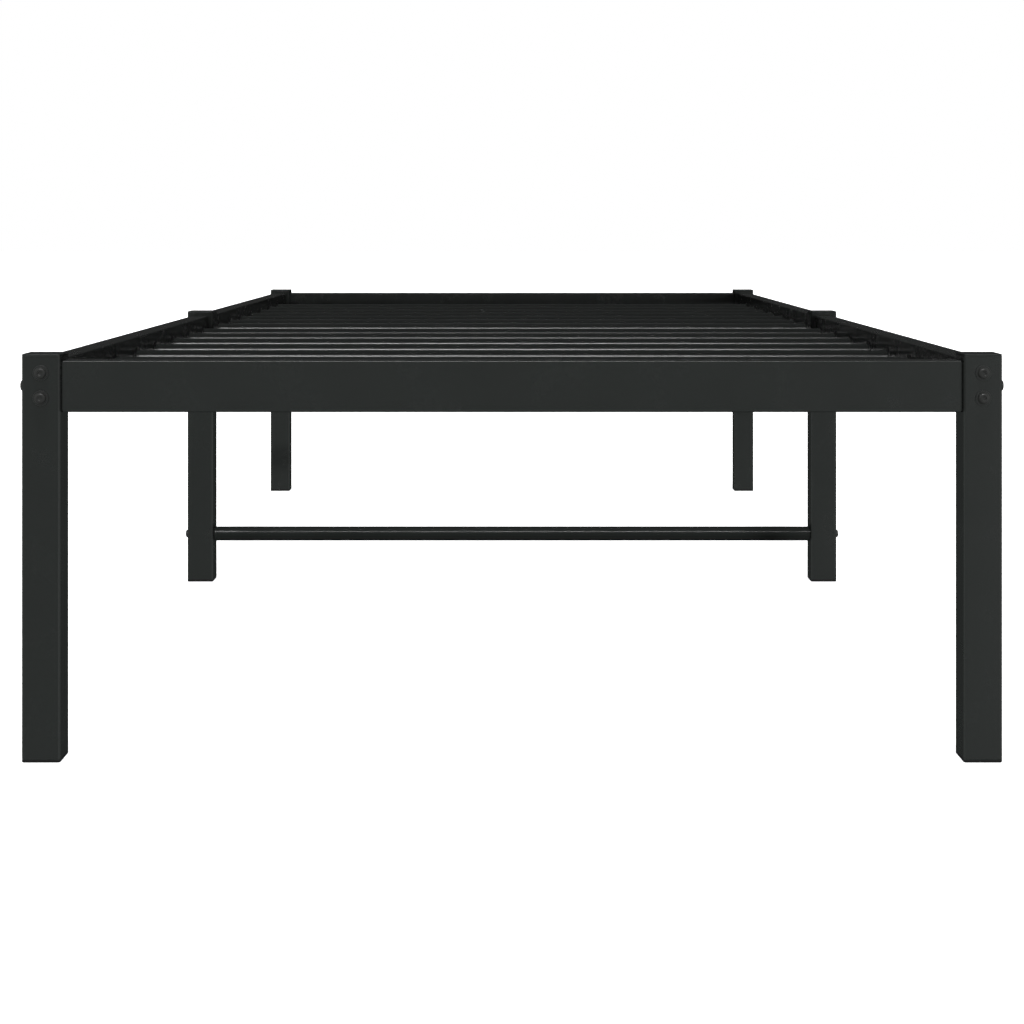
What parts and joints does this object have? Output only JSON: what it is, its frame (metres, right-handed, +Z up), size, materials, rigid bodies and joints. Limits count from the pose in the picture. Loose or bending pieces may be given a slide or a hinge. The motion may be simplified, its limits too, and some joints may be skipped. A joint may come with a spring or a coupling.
{
  "type": "metal bed frame",
  "caption": "Knock-down single bed frame in black powder-coated square steel tube, with end and side rails, middle legs joined by a low crossbar, and round tube slats.",
  "frame": {"origin": "on the floor, under the middle of the bed's outline", "axes": "+X to the right seen from the foot end, +Y from the foot end to the head end, +Z up"},
  "size_m": [0.97, 2.07, 0.4],
  "materials": {
    "frame_coat": "satin black powder coat on square and rectangular steel tube",
    "slat_coat": "satin black powder coat on round steel tube",
    "cap_plastic": "moulded black polyethylene, fine texture",
    "glide_plastic": "moulded black polyethylene",
    "bush_plastic": "moulded black nylon",
    "bolt_black": "black plated steel, slightly glossy",
    "zinc_steel": "bright zinc plating"
  },
  "bodies": {
    "root": {"crossbar_bolts": "bolt_black", "crossbar_inserts": "zinc_steel", "crossbar_washers": "bolt_black", "end_rail_bolts": "bolt_black", "end_rail_end_plates": "frame_coat", "end_rail_washers": "bolt_black", "end_rail_weld_nuts": "zinc_steel", "front_end_rail": "frame_coat", "front_left_foot_glide": "glide_plastic", "front_left_leg": "frame_coat", "front_left_leg_cap": "cap_plastic", "front_right_foot_glide": "glide_plastic", "front_right_leg": "frame_coat", "front_right_leg_cap": "cap_plastic", "front_side_rail_left": "frame_coat", "front_side_rail_right": "frame_coat", "front_slat_bushes_left": "bush_plastic", "front_slat_bushes_right": "bush_plastic", "half_rail_lock_bolts": "bolt_black", "half_rail_lock_nuts": "zinc_steel", "half_rail_sleeves": "frame_coat", "middle_crossbar": "frame_coat", "middle_left_foot_glide": "glide_plastic", "middle_left_leg": "frame_coat", "middle_left_leg_cap": "cap_plastic", "middle_right_foot_glide": "glide_plastic", "middle_right_leg": "frame_coat", "middle_right_leg_cap": "cap_plastic", "rear_end_rail": "frame_coat", "rear_left_foot_glide": "glide_plastic", "rear_left_leg": "frame_coat", "rear_left_leg_cap": "cap_plastic", "rear_right_foot_glide": "glide_plastic", "rear_right_leg": "frame_coat", "rear_right_leg_cap": "cap_plastic", "rear_side_rail_left": "frame_coat", "rear_side_rail_right": "frame_coat", "rear_slat_bushes_left": "bush_plastic", "rear_slat_bushes_right": "bush_plastic", "side_rail_bolts": "bolt_black", "side_rail_end_plates": "frame_coat", "side_rail_washers": "bolt_black", "side_rail_weld_nuts": "zinc_steel", "slat_01": "slat_coat", "slat_02": "slat_coat", "slat_03": "slat_coat", "slat_04": "slat_coat", "slat_05": "slat_coat", "slat_06": "slat_coat", "slat_07": "slat_coat", "slat_08": "slat_coat", "slat_09": "slat_coat", "slat_10": "slat_coat", "slat_11": "slat_coat", "slat_12": "slat_coat", "slat_13": "slat_coat", "slat_14": "slat_coat"}
  },
  "joints": []
}
